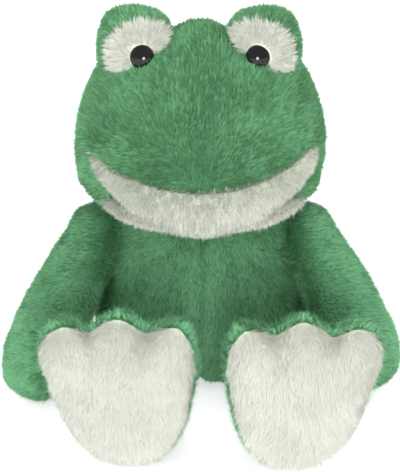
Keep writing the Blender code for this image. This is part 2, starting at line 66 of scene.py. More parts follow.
# Painted shade: the lip's cream pile has a lower tone than the patch's, for the shade it lies in under the face
LIP_PILE_PAINTED_SHADE = {**CREAM_PILE, "tone": 0.12, "uneven": 0.8}
SOLE_PILE = {
    **CREAM_PILE,
    "length": 0.0080,
    "width": 0.00040,
    "lean": 48.0,
    "bend": 18.0,
    "clump": 0.0050,
    "gather": 0.16,
    "strays": 0.02,
    "facing": 0.05,
    "tone": 0.42,
    "uneven": 0.30,
}
STRANDS_PER_M2 = 2.4e6
STRANDS_PER_PIECE = 90000
FLOOR_CLEARANCE = 0.0003

# How strands differ. Patches are a strength and a width, spreads are one deviation of a random draw
LENGTH_LEAST = 0.78
LENGTH_SPREAD = 0.40
LENGTH_PATCHES = (0.10, 0.012)
SWIRL_WIDE = (26.0, 0.030)
SWIRL_NARROW = (16.0, 0.009)
SWIRL_SPREAD = 9.0
LEAN_SPREAD = 9.0
LEAN_PATCHES = (8.0, 0.007)
STRAY_LENGTH = 1.2
STRAY_RISE = 26.0
TUFT_SHIFT = 0.35
MIDDLE_PULL = 0.35
TONE_WIDE = (0.20, 0.045)
TONE_NARROW = (0.20, 0.016)
TONE_TUFT = 0.20
TONE_STRAND = 0.17
TONE_LIMITS = (0.03, 0.97)
# A strand's width on its map, which keeps its faces from having no area there
TONE_STEP = 0.006

# Each pile draws from its own seed and the ten after it, and the left side's are a step on from the right side's
SEEDS = {
    "lumps": 7,
    "torso": 100,
    "head": 200,
    "lip": 300,
    "chin": 320,
    "bump": 400,
    "patch": 420,
    "arm": 500,
    "leg": 600,
    "upper": 700,
    "sole": 720,
}
LEFT_SEED_STEP = 40

# The backing: it rises towards the fabric's outer face near a neighbour, and it is a little lumpy
SNUG_REACH = 0.012
SNUG_SHARE = 0.85
SNUG_DEPTH = 0.0006
LUMP_WIDTH = 0.026
LUMP_HEIGHT = 0.0010

# How deep in a neighbour a strand may have its root
CUT_LEAST = 0.003
CUT = 0.004
CUT_MOST = 0.006

# Seam grooves: width and depth. The belly seam's fades out towards the side seams
BELLY_GROOVE = (0.0030, 0.0045)
BELLY_FADE = 0.02
SIDE_GROOVE = (0.0035, 0.0022)
FACE_GROOVE = (0.0040, 0.0026)

# Combing: how much the pile turns outwards, falls, or parts on the soles
COMB_SPREAD = 4.0
BUMP_FALL = 0.15
UPPER_FALL = 0.1
UPPER_PARTING = 0.02
ARM_COMB_DOWN = 0.5
ARM_COMB_BACK = 0.35
SOLE_PARTING_TOP = 0.02
SOLE_PARTING_FADE = 0.06
SOLE_PARTING_WIDTH = 0.05

SKIN_ROWS = 72
SKIN_COLUMNS = 96
PROFILE_STEPS = 400
OUTLINE_STEPS = 720
# How many points each form's CAD cage has round it, which sets how much a ring is drawn in
CAGE_POINTS = {"torso": 10, "head": 10, "arm": 8, "leg": 6, "bump": 8, "band": 6}

# Rings of each form: how far along it the ring is, then its half-width and its depth to each side, as shares
TORSO_RINGS = (
    (0.00, 0.60, 0.00),
    (0.07, 0.90, 0.00),
    (0.28, 1.08, -0.02),
    (0.56, 0.98, 0.00),
    (0.82, 0.80, 0.03),
    (1.00, 0.54, 0.04),
)
TORSO_SIZE = (0.188, 0.140, 0.168)
TORSO_X = 0.0015
TORSO_Y = 0.0755
TORSO_Z = -0.0005
SIDE_SEAM_Y = 0.0835

HEAD_RINGS = (
    (0.00, 0.56, 0.56, 0.56),
    (0.07, 0.87, 0.83, 0.81),
    (0.24, 1.06, 1.05, 0.99),
    (0.46, 1.08, 1.05, 1.08),
    (0.69, 0.97, 0.89, 1.00),
    (0.86, 0.80, 0.66, 0.80),
    (1.00, 0.46, 0.36, 0.44),
)
HEAD_HALF_WIDTH = 0.1015
HEAD_FRONT = 0.088
HEAD_BACK = 0.080
HEAD_BASE = 0.146
HEAD_HEIGHT = 0.162
HEAD_Y = 0.0515
FACE_SEAM_Y = 0.0635
# The crown is pulled in beside its middle, where the bumps are sewn on
CROWN_HALF_WIDTH = 0.008
CROWN_LOW = 0.284
CROWN_DIP = 0.0060
CROWN_FADE_X = 0.018
CROWN_FADE_Z = 0.016
# The pile of the head runs up and out over the face from behind the middle of the lip
UNDER_LIP = (0.0, -0.036, 0.184)

ARM_RINGS = (
    (0.00, 0.54, 0.30, 0.50),
    (0.13, 0.86, 0.50, 1.30),
    (0.44, 0.96, 0.93, 1.30),
    (0.78, 1.08, 1.12, 1.20),
    (0.95, 0.82, 0.86, 1.10),
    (1.00, 0.42, 0.46, 0.50),
)
ARM_LENGTH = {"right": 0.1485, "left": 0.1400}
ARM_TOP = 0.027
ARM_HALF_WIDTH = 0.040
ARM_OUTER = {"right": 0.0360, "left": 0.0375}
ARM_INNER = 0.021
ARM_LEAN = {"right": 24.0, "left": 20.0}
ARM_GAP = 0.0003
FLANK_TILT = {"right": 28.5, "left": 27.0}
FLANK_TURN = {"right": 15.0, "left": 14.0}
SHOULDER_X = {"right": 0.0720, "left": 0.0743}
SHOULDER_Y = 0.0675
SHOULDER_Z = 0.115

HIP_X = {"right": 0.050, "left": 0.052}
HIP_Y = 0.0075
HIP_RADIUS = 0.033
HIP_Z = 0.0267
ANKLE_X = {"right": 0.053, "left": 0.064}
ANKLE_Y = {"right": -0.0760, "left": -0.0825}
ANKLE_RADIUS = 0.028
ANKLE_Z = 0.0223
LEG_END_ANGLE = 38.0
LEG_POLE_SHARE = 0.94

FOOT_X = {"right": 0.059, "left": 0.0745}
FOOT_Y = {"right": -0.1085, "left": -0.1150}
FOOT_Z = 0.0584
FOOT_HALF_WIDTH = 0.0605
FOOT_HALF_LENGTH = 0.0625
SOLE_DEPTH = 0.025
UPPER_DEPTH = 0.029
# The sole's cream pile starts this far ahead of the foot's middle
PILE_SEAM = 0.007
FOOT_LEAN = 6.0
FOOT_TURN = 4.0
FOOT_OUTLINE = (
    (0.02, 1.02),
    (0.22, 0.95),
    (0.42, 0.74),
    (0.60, 0.88),
    (0.84, 0.90),
    (1.04, 0.72),
    (1.10, 0.42),
    (0.90, 0.00),
    (0.74, -0.54),
    (0.34, -0.94),
    (-0.26, -1.04),
    (-0.76, -0.72),
    (-0.92, -0.10),
    (-1.02, 0.46),
    (-0.88, 0.88),
    (-0.64, 0.94),
    (-0.34, 0.77),
    (-0.18, 0.93),
)
FOOT_LAYERS = ((0.68, -0.98), (1.00, -0.32), (0.97, 0.52), (0.60, 0.96))

MOUTH_X = 0.0025
MOUTH_RISE_POWER = 1.6
BAND_END = 1.02
# Each band of the mouth: its middle line, its half angle round the head, its half height and how much fuller it is
# below, its half depth, and the share of both from end to end
LIP = {
    "reach": 0.0855,
    "side": 0.0975,
    "z": 0.1735,
    "rise": 0.038,
    "angle": 62.5,
    "height": 0.0185,
    "sag": 1.17,
    "depth": 0.0155,
    "taper": (0.36, 0.62, 0.76, 0.88, 1.06, 0.88, 0.76, 0.62, 0.36),
}
CHIN = {
    "reach": 0.0770,
    "side": 0.0930,
    "z": 0.1645,
    "rise": 0.008,
    "angle": 56.0,
    "height": 0.0105,
    "sag": 1.0,
    "depth": 0.0130,
    "taper": (0.40, 0.75, 0.95, 0.70, 0.45, 0.70, 1.00, 0.95, 0.45),
}

BUMP_X = 0.0515
BUMP_Y = 0.0335
BUMP_Z = 0.283
BUMP_HALF_SIZE = (0.0340, 0.0290, 0.0430)
BUMP_RINGS = ((-0.77, 0.66), (-0.09, 1.00), (0.53, 0.98), (0.90, 0.75))
BUMP_TILT = -4.0
# The cream patch is an oval ahead of its seam, because the bump's green pile lies forward over the seam's edge
PATCH_SEAM = 0.010
PATCH_TURN = 12.0
PATCH_MIDDLE = (0.006, 0.281)
PATCH_REACH = (0.0295, 0.0330)
# The green face rises in front of the patch: the patch's lower edge, as distance towards the crown and height
PATCH_EDGE = ((-0.040, 0.272), (-0.020, 0.2765), (0.000, 0.279), (0.011, 0.283), (0.022, 0.294), (0.034, 0.316))

EYE_X = 0.0455
EYE_RADIUS = 0.0097
EYE_BULGE = 0.0068
EYE_RIM = 0.0012
EYE_TURN = 6.0
EYE_RAISE = 10.0
EYE_ROWS = 25
EYE_COLUMNS = 64
# Under the fabric the eye's back narrows to a share of its radius, at a multiple of its rim's depth
EYE_BACK_SHARE = 0.8
EYE_BACK_DEPTH = 1.5
# The pile stops this far outside the eye's rim on the head, and just under it on the bump
HEAD_EYE_GAP = 0.0015
BUMP_EYE_GAP = -0.0008
EYE_HOLE_DEPTH = 0.02

FLOOR_REACH = 8.0
FLOOR_GLOW = 0.62
ROOM_LIGHT = 0.68
# Each lamp's place, width and watts, and whether the eyes mirror it
LAMPS = {
    "key": ((-1.2, -1.8, 0.6), 1.3, 15.0, False),
    "front": ((0.15, -1.8, 0.30), 0.50, 17.5, True),
    "top": ((0.0, -0.5, 1.9), 1.0, 9.5, False),
    "side": ((2.0, -0.3, 0.8), 1.2, 9.0, False),
    "back": ((-0.8, 1.9, 1.2), 1.3, 14.0, False),
}


# Numbers


def turned(points, axis, degrees, about=(0.0, 0.0, 0.0)):
    """Points turned about a line: the part along the axis stays, the rest turns by cosine and sine."""
    axis = np.asarray(axis, float) / np.linalg.norm(axis)
    arm = np.asarray(points, float) - about
    angle = math.radians(degrees)
    along = (arm @ axis)[..., None] * axis
    return about + along + (arm - along) * math.cos(angle) + np.cross(axis, arm) * math.sin(angle)


def unit(vectors):
    """Each vector over its own length."""
    return vectors / np.maximum(np.linalg.norm(vectors, axis=-1, keepdims=True), 1e-12)


def dot(a, b):
    """The sum of the products of the coordinates."""
    return (a * b).sum(axis=-1)


def lattice(cells, seed):
    """A fixed random number from -1 to 1 for each whole-number cell: its coordinates mixed by large primes."""
    mixed = cells.astype(np.int64) @ np.array([73856093, 19349663, 83492791]) + seed * 998244353
    mixed = (mixed ^ (mixed >> 13)) * 1274126177
    mixed = mixed ^ (mixed >> 16)
    return (mixed & 0xFFFFFF) / 0x7FFFFF - 1.0


def soft_noise(points, cell, seed):
    """Smooth noise from -1 to 1: lattice values blended over each cell by 3t^2 - 2t^3."""
    place = points / cell
    base = np.floor(place)
    share = place - base
    share = share * share * (3.0 - 2.0 * share)
    total = np.zeros(len(points))
    for corner in np.ndindex(2, 2, 2):
        weight = np.prod(np.where(corner, share, 1.0 - share), axis=1)
        total += weight * lattice(base + corner, seed)
    return total


def patches(points, kind, seed):
    """Smooth noise of a given strength, in patches of a given width."""
    strength, width = kind
    return strength * soft_noise(points, width, seed)


def seed_of(pile_name, side):
    return SEEDS[pile_name] + (LEFT_SEED_STEP if side == "left" else 0)


def spline(controls, places):
    """A uniform cubic B-spline: four controls weighted by (1-f)^3, 3f^3-6f^2+4, -3f^3+3f^2+3f+1 and f^3, over 6."""
    controls = np.asarray(controls, float)
    first = np.clip(np.floor(places).astype(int), 0, len(controls) - 4)
    f = (places - first)[:, None]
    weights = ((1 - f) ** 3, 3 * f**3 - 6 * f**2 + 4, -3 * f**3 + 3 * f**2 + 3 * f + 1, f**3)
    return sum(weight * controls[first + i] for i, weight in enumerate(weights)) / 6.0


def smoothing_loss(count):
    """How far a cage ring of this many points lies outside the form that it carries."""
    return (6.0 + 2.0 * math.cos(2.0 * math.pi / count)) / 8.0


# Forms


class RingForm:
    """Rings stacked along a line. A ring is an ellipse with its own depth to either side, or any closed outline.

    A point is origin + along * reach(t) + across * width(t) * cos(u) + out * depth(t) * sin(u). The profiles are
    B-splines through the rings, mirrored past each pole so that the ends close smoothly.
    """

    def __init__(self, origin, across, out, along, rings, poles, outline=None):
        self.origin = np.asarray(origin, float)
        self.axes = np.array([across, out, along], float)
        rings = np.asarray(rings, float)
        ends = [np.array([pole, *np.zeros(rings.shape[1] - 1)]) for pole in poles]
        flip = np.array([1.0, *-np.ones(rings.shape[1] - 1)])
        self.controls = np.array([rings[0] * flip, ends[0], *rings, ends[1], rings[-1] * flip])
        self.outline = outline
        self.t = np.linspace(0.0, len(rings) + 1.0, PROFILE_STEPS)
        self.profile = spline(self.controls, self.t)

    def section(self, u):
        """Where each turn u lies on a ring of width 1 and depth 1."""
        if self.outline is None:
            return np.cos(u), np.sin(u)
        count = len(self.outline)
        loop = np.asarray(self.outline)[np.arange(-1, count + 2) % count]
        return spline(loop, u / (2.0 * math.pi) * count).T

    def points(self, t, u):
        """Points at places t (rows) and turns u (columns)."""
        reach, width, below, above, shift = spline(self.controls, t).T[:, :, None]
        x, y = self.section(u)
        depth = np.where(y < 0.0, below, above)
        local = np.stack([width * x, depth * y + shift, reach + 0.0 * x], axis=-1)
        return self.origin + local @ self.axes

    def outside(self, points):
        """Roughly how far outside the form each point is, in metres, less than zero within it."""
        a, b, c = ((points - self.origin) @ self.axes.T).T
        reach, width, below, above, shift = self.profile.T
        order = np.argsort(reach)
        width, below, above, shift = (np.interp(c, reach[order], v[order]) for v in (width, below, above, shift))
        depth = np.maximum(np.where(b < shift, below, above), 1e-5)
        x = a / np.maximum(width, 1e-5)
        y = (b - shift) / depth
        edge = 1.0
        if self.outline is not None:
            turn = np.linspace(0.0, 2.0 * math.pi, OUTLINE_STEPS, endpoint=False)
            ring = np.array(self.section(turn))
            angle = np.arctan2(ring[1], ring[0])
            order = np.argsort(angle)
            edge = np.interp(np.arctan2(y, x), angle[order], np.hypot(*ring)[order], period=2.0 * math.pi)
        around = (np.hypot(x, y) - edge) * np.minimum(width, depth)
        return np.maximum(around, np.maximum(reach.min() - c, c - reach.max()))


class BandForm:
    """A band bent round the head: ellipses, fuller below by the sag, carried along a level arc that lifts at its ends.

    Its middle line is (side sin a, -reach cos a, z + rise |s|^p), where a is s half angles and s runs from 1 to -1.
    """

    def __init__(self, band):
        self.band = band
        taper = np.array([0.0, *band["taper"], 0.0])
        share = np.array([BAND_END, *np.linspace(1.0, -1.0, len(band["taper"])), -BAND_END])
        controls = np.stack([share, taper], axis=-1)
        before = np.array([share[1], -taper[1]])
        after = np.array([share[-2], -taper[-2]])
        self.controls = np.array([before, *controls, after])
        self.t = np.linspace(0.0, len(controls) - 1.0, PROFILE_STEPS)
        self.profile = spline(self.controls, self.t)

    def middle(self, share):
        angle = np.radians(self.band["angle"]) * share
        outward = np.stack([np.sin(angle), -np.cos(angle), 0.0 * angle], axis=-1)
        level = np.stack(
            [
                MOUTH_X + self.band["side"] * np.sin(angle),
                HEAD_Y - self.band["reach"] * np.cos(angle),
                self.band["z"] + self.band["rise"] * np.abs(share) ** MOUTH_RISE_POWER,
            ],
            axis=-1,
        )
        return level, outward

    def points(self, t, u):
        share, taper = spline(self.controls, t).T
        level, outward = self.middle(share)
        draw = taper[:, None] * smoothing_loss(CAGE_POINTS["band"])
        deep = (self.band["depth"] * draw * np.cos(u))[:, :, None] * outward[:, None]
        sag = np.where(np.sin(u) < 0.0, self.band["sag"], 1.0)
        tall = (self.band["height"] * sag * draw * np.sin(u))[:, :, None] * np.array([0.0, 0.0, 1.0])
        return level[:, None] + deep + tall

    def outside(self, points):
        across = (points[:, 0] - MOUTH_X) / self.band["side"]
        angle = np.arctan2(across, (HEAD_Y - points[:, 1]) / self.band["reach"])
        share = angle / math.radians(self.band["angle"])
        level, outward = self.middle(share)
        order = np.argsort(self.profile[:, 0])
        taper = np.interp(share, self.profile[order, 0], self.profile[order, 1])
        taper = taper * smoothing_loss(CAGE_POINTS["band"])
        taper = np.where(np.abs(share) > 1.0, 1e-3, np.maximum(taper, 1e-3))
        deep = dot(points - level, outward) / (self.band["depth"] * taper)
        tall = points[:, 2] - level[:, 2]
        tall = tall / (self.band["height"] * taper * np.where(tall < 0.0, self.band["sag"], 1.0))
        return (np.hypot(deep, tall) - 1.0) * self.band["depth"] * taper


def torso_form():
    """A pear: level rings from the seat to the neck, each moved back by a share of the depth."""
    width, depth, height = TORSO_SIZE
    draw = smoothing_loss(CAGE_POINTS["torso"])
    rings = []
    for rise, swell, shift in TORSO_RINGS:
        half_depth = swell * depth / 2 * draw
        rings.append((rise * height, swell * width / 2 * draw, half_depth, half_depth, shift * depth))
    return RingForm((TORSO_X, TORSO_Y, TORSO_Z), (1, 0, 0), (0, 1, 0), (0, 0, 1), rings, (0.0, height))


def head_form():
    """Level rings from the neck to the crown, with a depth of their own ahead and behind."""
    draw = smoothing_loss(CAGE_POINTS["head"])
    rings = [
        (
            rise * HEAD_HEIGHT,
            swell * HEAD_HALF_WIDTH * draw,
            front * HEAD_FRONT * draw,
            back * HEAD_BACK * draw,
            0.0,
        )
        for rise, swell, front, back in HEAD_RINGS
    ]
    return RingForm((0.0, HEAD_Y, HEAD_BASE), (1, 0, 0), (0, 1, 0), (0, 0, 1), rings, (0.0, HEAD_HEIGHT))


def arm_axes(side):
    """Across the arm, out of the flank, and down along the arm, with the arm swung forwards on the flank."""
    tilt = math.radians(FLANK_TILT[side])
    level = turned([SIDES[side], 0.0, 0.0], (0.0, 0.0, 1.0), -FLANK_TURN[side] * SIDES[side])
    out = level * math.cos(tilt) + np.array([0.0, 0.0, math.sin(tilt)])
    down = unit(np.cross(np.cross((0.0, 0.0, 1.0), out), out))
    along = turned(down, out, -ARM_LEAN[side] * SIDES[side])
    return np.cross(out, along), out, along


def arm_form(side):
    """The arm lies along its flank, with the nearest part of its inner face just off it."""
    across, out, along = arm_axes(side)
    draw = smoothing_loss(CAGE_POINTS["arm"])
    full = ARM_LENGTH[side] + ARM_TOP
    rings = [
        (
            reach * full,
            width * ARM_HALF_WIDTH * draw,
            inner * ARM_INNER * draw,
            outer * ARM_OUTER[side] * draw,
            0.0,
        )
        for reach, width, outer, inner in ARM_RINGS
    ]
    shoulder = np.array([SIDES[side] * SHOULDER_X[side], SHOULDER_Y, SHOULDER_Z])
    form = RingForm(shoulder, across, out, along, rings, (0.0, full))
    form.origin = shoulder + out * (form.profile[:, 2].max() + ARM_GAP) - along * ARM_TOP
    return form


def leg_form(side):
    """Two half balls, at the hip and at the ankle, with a straight taper between them."""
    start = np.array([SIDES[side] * HIP_X[side], HIP_Y, HIP_Z])
    end = np.array([SIDES[side] * ANKLE_X[side], ANKLE_Y[side], ANKLE_Z])
    length = np.linalg.norm(end - start)
    along = (end - start) / length
    across = unit(np.cross(along, (0.0, 0.0, 1.0)))
    up = np.cross(along, across)
    draw = smoothing_loss(CAGE_POINTS["leg"])
    rings = []
    for place, radius, angle in (
        (0.0, HIP_RADIUS, -LEG_END_ANGLE),
        (0.0, HIP_RADIUS, 0.0),
        (length, ANKLE_RADIUS, 0.0),
        (length, ANKLE_RADIUS, LEG_END_ANGLE),
    ):
        wide = radius * math.cos(math.radians(angle)) * draw
        rings.append((place + radius * math.sin(math.radians(angle)), wide, wide, wide, 0.0))
    poles = (-HIP_RADIUS * LEG_POLE_SHARE, length + ANKLE_RADIUS * LEG_POLE_SHARE)
    return RingForm(start, across, up, along, rings, poles)


def foot_axes(side):
    """Across the foot (outwards), up the sole, and out of the sole."""
    axes = np.array([[SIDES[side], 0.0, 0.0], [0.0, 0.0, 1.0], [0.0, -1.0, 0.0]])
    axes = turned(axes, (1.0, 0.0, 0.0), -FOOT_LEAN)
    return turned(axes, (0.0, 0.0, 1.0), FOOT_TURN * SIDES[side])


def foot_middle(side):
    return np.array([SIDES[side] * FOOT_X[side], FOOT_Y[side], FOOT_Z])


def foot_form(side):
    """The foot's outline carried from behind its upper to the sole's face, and drawn in towards both."""
    across, up, out = foot_axes(side)
    rings = []
    for spread, lift in FOOT_LAYERS:
        depth = SOLE_DEPTH if lift > 0.0 else UPPER_DEPTH
        half_length = spread * FOOT_HALF_LENGTH
        rings.append((lift * depth, spread * FOOT_HALF_WIDTH, half_length, half_length, 0.0))
    return RingForm(foot_middle(side), across, up, out, rings, (-UPPER_DEPTH, SOLE_DEPTH), FOOT_OUTLINE)


def bump_form(side):
    """An upright egg, tilted a little sideways."""
    half_width, half_depth, half_height = BUMP_HALF_SIZE
    draw = smoothing_loss(CAGE_POINTS["bump"])
    rings = []
    for lift, swell in BUMP_RINGS:
        deep = half_depth * swell * draw
        rings.append((half_height * lift, half_width * swell * draw, deep, deep, 0.0))
    axes = turned(np.eye(3), (0.0, 1.0, 0.0), BUMP_TILT * SIDES[side])
    return RingForm(bump_middle(side), *axes, rings, (-half_height, half_height))


def bump_middle(side):
    return np.array([SIDES[side] * BUMP_X, BUMP_Y, BUMP_Z])


def eye_facing(side):
    """The way an eye looks: forwards, a little outwards and up."""
    facing = turned([0.0, -1.0, 0.0], (0.0, 0.0, 1.0), EYE_TURN * SIDES[side])
    return turned(facing, np.cross(facing, (0.0, 0.0, 1.0)), EYE_RAISE)


def eye_seat(side):
    """The middle of the eye's rim: half way up the CAD eye, and a dome's height behind its foremost point."""
    low, high = (np.array(corner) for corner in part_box("eye_" + side))
    front = low[1] + EYE_BULGE * abs(eye_facing(side)[1])
    return np.array([SIDES[side] * EYE_X, front, (low[2] + high[2]) / 2])


# Fabric


class Skin:
    """A form's surface as a closed grid, set in under its pile, with dents where seams pull it in.

    It is set in less within SNUG_REACH of a neighbour: root times (1 - SNUG_SHARE * closeness).
    """

    def __init__(self, form, root, dent=None, near=()):
        t = np.linspace(form.t[0], form.t[-1], SKIN_ROWS + 1)
        u = np.linspace(0.0, 2.0 * math.pi, SKIN_COLUMNS + 1)
        grid = form.points(t, u)
        self.normals = self.facing(grid)
        lumps = soft_noise(grid.reshape(-1, 3), LUMP_WIDTH, SEEDS["lumps"]).reshape(grid.shape[:2]) * LUMP_HEIGHT
        depth = root - lumps
        for other in near:
            gap = other.outside(grid.reshape(-1, 3)).reshape(grid.shape[:2])
            depth = depth - root * SNUG_SHARE * np.clip(1.0 - np.abs(gap) / SNUG_REACH, 0.0, 1.0)
        depth = np.maximum(depth, SNUG_DEPTH)
        if dent is not None:
            depth = depth + dent(grid)
        self.grid = grid - self.normals * depth[..., None]
        self.grid[:, -1] = self.grid[:, 0]
        self.grid[[0, -1]] = self.grid[[0, -1]].mean(axis=1, keepdims=True)
        self.grid[..., 2] = np.maximum(self.grid[..., 2], FLOOR_CLEARANCE)

    def facing(self, grid):
        """Outward normals: the cross product of the grid's two slopes, with the poles' taken along the axis."""
        around = np.gradient(np.concatenate([grid[:, -2:-1], grid, grid[:, 1:2]], axis=1), axis=1)[:, 1:-1]
        normals = unit(np.cross(around, np.gradient(grid, axis=0)))
        normals[[0, -1]] = unit(normals[[1, -2]].mean(axis=1, keepdims=True))
        volume = dot(normals, grid - grid.reshape(-1, 3).mean(axis=0)).sum()
        self.turn = 1 if volume > 0.0 else -1
        return normals * self.turn

    def scattered(self, rng, density):
        """Random places on the skin, spread evenly by area, with their normals."""
        grid = self.grid
        sides = np.cross(grid[1:, :-1] - grid[:-1, :-1], grid[:-1, 1:] - grid[:-1, :-1])
        sides = sides + np.cross(grid[:-1, 1:] - grid[1:, 1:], grid[1:, :-1] - grid[1:, 1:])
        areas = np.linalg.norm(sides, axis=-1).ravel() / 2.0
        count = int(areas.sum() * density)
        cell = np.searchsorted(np.cumsum(areas) / areas.sum(), rng.random(count))
        row, column = np.divmod(np.minimum(cell, areas.size - 1), grid.shape[1] - 1)
        a, b = rng.random((2, count, 1))
        corners = ((0, 0, (1 - a) * (1 - b)), (1, 0, a * (1 - b)), (0, 1, (1 - a) * b), (1, 1, a * b))
        places = sum(weight * grid[row + i, column + j] for i, j, weight in corners)
        normals = sum(weight * self.normals[row + i, column + j] for i, j, weight in corners)
        return places, unit(normals)


def mesh_piece(name, points, faces, materials):
    """A smooth-shaded object from whole arrays of points and faces."""
    mesh = bpy.data.meshes.new(name)
    mesh.from_pydata(points.tolist(), [], faces)
    for finish in materials:
        mesh.materials.append(finish)
    mesh.polygons.foreach_set("use_smooth", np.ones(len(mesh.polygons), bool))
    piece = bpy.data.objects.new(name, mesh)
    bpy.context.scene.collection.objects.link(piece)
    return piece


def loft_faces(rows, columns, turn):
    """Quads between rings and fans of triangles to the two poles, which are the last two points."""
    i, j = np.meshgrid(np.arange(rows - 1), np.arange(columns), indexing="ij")
    k = (j + 1) % columns
    quads = np.stack([i * columns + j, i * columns + k, (i + 1) * columns + k, (i + 1) * columns + j], -1)
    ring = np.arange(columns)
    after = (ring + 1) % columns
    last = (rows - 1) * columns
    first_fan = np.stack([after, ring, np.full(columns, rows * columns)], -1)
    last_fan = np.stack([last + ring, last + after, np.full(columns, rows * columns + 1)], -1)
    faces = [*quads.reshape(-1, 4).tolist(), *first_fan.tolist(), *last_fan.tolist()]
    return faces if turn > 0 else [face[::-1] for face in faces]


def fabric(name, skin, body, nodes, materials, second=None):
    """The backing cloth of one stuffed form. Faces where second holds take the second material."""
    rings = skin.grid[1:-1, :-1]
    rows, columns, _ = rings.shape
    points = np.concatenate([rings.reshape(-1, 3), skin.grid[[0, -1], 0]])
    faces = loft_faces(rows, columns, skin.turn)
    piece = mesh_piece(name, points, faces, materials)
    if second is not None:
        centres = np.empty(len(faces) * 3)
        piece.data.polygons.foreach_get("center", centres)
        piece.data.polygons.foreach_set("material_index", second(centres.reshape(-1, 3)).astype(int))
    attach(piece, body)
    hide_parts(*nodes)
    return piece


# Pile


def pile(name, skin, body, finish, kind, comb, seed, keep=None, clear_of=()):
    """Strands of pile: a ribbon, widest at its bend, which leans along the comb and gathers into small tufts.

    root, middle = root + L/2 T1 and tip = middle + L/2 T2, where T leans from the normal towards the comb by an
    angle that grows along the strand, and both are drawn sideways towards the middle of the strand's tuft. A tuft is
    a cell of a cubic grid, with uneven borders and its middle shifted at random.
    """
    rng = np.random.default_rng(seed)
    share = 1.0
    root, normal = skin.scattered(rng, STRANDS_PER_M2 * share)
    kept = root[:, 2] > FLOOR_CLEARANCE * 2.0
    if keep is not None:
        kept &= keep(root)
    for form, depth in clear_of:
        kept &= form.outside(root) > -depth
    root, normal = root[kept], normal[kept]
    count = len(root)
    length = kind["length"] * (LENGTH_LEAST + LENGTH_SPREAD * rng.random(count))
    length = length * (1.0 + patches(root, LENGTH_PATCHES, seed))
    way = comb(root, normal)
    way = unit(way - dot(way, normal)[:, None] * normal)
    swirl = np.radians(patches(root, SWIRL_WIDE, seed + 1) + patches(root, SWIRL_NARROW, seed + 2))
    swirl = (swirl + np.radians(SWIRL_SPREAD) * rng.standard_normal(count))[:, None]
    way = way * np.cos(swirl) + np.cross(normal, way) * np.sin(swirl)
    stray = rng.random(count) < kind["strays"]
    length = length * np.where(stray, STRAY_LENGTH, 1.0)
    lean = kind["lean"] + LEAN_SPREAD * rng.standard_normal(count) + patches(root, LEAN_PATCHES, seed + 3)
    lean = np.radians(lean - np.where(stray, STRAY_RISE, 0.0))[:, None]
    bend = lean + math.radians(kind["bend"])
    half = length[:, None] / 2.0
    low = normal * np.cos(lean) + way * np.sin(lean)
    high = normal * np.cos(bend) + way * np.sin(bend)
    clump = kind["clump"]
    cell = np.floor((root + 0.5 * clump * soft_noise(root, clump, seed + 4)[:, None]) / clump)
    jitter = np.stack([lattice(cell, seed + 5), lattice(cell, seed + 6), lattice(cell, seed + 7)], -1)
    pull = (cell + 0.5 + TUFT_SHIFT * jitter) * clump - root
    pull = pull - dot(pull, normal)[:, None] * normal
    middle = root + low * half + MIDDLE_PULL * kind["gather"] * pull
    tip = middle + high * half + kind["gather"] * pull
    facing = normal + kind["facing"] * rng.standard_normal((count, 3))
    wide = unit(np.cross(unit(tip - root), facing)) * kind["width"] / 2.0
    corners = np.stack([root, middle + wide, middle - wide, tip], axis=1)
    corners[..., 2] = np.maximum(corners[..., 2], FLOOR_CLEARANCE)
    tone = patches(root, TONE_WIDE, seed + 10) + patches(root, TONE_NARROW, seed + 8)
    tone = tone + TONE_TUFT * lattice(cell, seed + 9) + TONE_STRAND * rng.standard_normal(count)
    tone = np.clip(kind["tone"] + kind["uneven"] * tone, *TONE_LIMITS)
    for first in range(0, count, STRANDS_PER_PIECE):
        part = slice(first, first + STRANDS_PER_PIECE)
        number = first // STRANDS_PER_PIECE + 1
        piece = strands(f"{name}_{number}", corners[part], tone[part], finish)
        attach(piece, body)


def strands(name, corners, tone, finish):
    """One mesh of ribbons, each of two triangles. Its map holds the strand's tone and the place along it."""
    count = len(corners)
    mesh = bpy.data.meshes.new(name)
    mesh.vertices.add(count * 4)
    mesh.vertices.foreach_set("co", corners.astype(np.float32).ravel())
    order = np.arange(count)[:, None] * 4 + np.array([0, 1, 2, 2, 1, 3])
    mesh.loops.add(count * 6)
    mesh.loops.foreach_set("vertex_index", order.astype(np.int32).ravel())
    mesh.polygons.add(count * 2)
    mesh.polygons.foreach_set("loop_start", np.arange(0, count * 6, 3, dtype=np.int32))
    mesh.polygons.foreach_set("use_smooth", np.ones(count * 2, bool))
    mesh.update(calc_edges=True)
    sideways = np.array([0, 1, -1, -1, 1, 0]) * TONE_STEP
    along = np.array([0.04, 0.5, 0.5, 0.5, 0.5, 0.96])
    places = np.stack([tone[:, None] + sideways, np.broadcast_to(along, (count, 6))], axis=-1)
    mesh.uv_layers.new(name="OFBake").data.foreach_set("uv", places.astype(np.float32).ravel())
    mesh.materials.append(finish)
    piece = bpy.data.objects.new(name, mesh)
    bpy.context.scene.collection.objects.link(piece)
    return piece


# Materials


def linear(code):
    """An sRGB hex colour as linear numbers: c/12.92 below 0.04045, else ((c + 0.055)/1.055)^2.4."""
    shares = [int(code[i : i + 2], 16) / 255.0 for i in (1, 3, 5)]
    return (*(c / 12.92 if c <= 0.04045 else ((c + 0.055) / 1.055) ** 2.4 for c in shares), 1.0)


def add(tree, kind, settings=(), inputs=()):
    """Adds a node, sets its properties, and sets or links its inputs."""
    node = tree.nodes.new(kind)
    for name, value in dict(settings).items():
        setattr(node, name, value)
    for name, value in dict(inputs).items():
        if isinstance(value, bpy.types.NodeSocket):
            tree.links.new(value, node.inputs[name])
        else:
            node.inputs[name].default_value = value
    return node


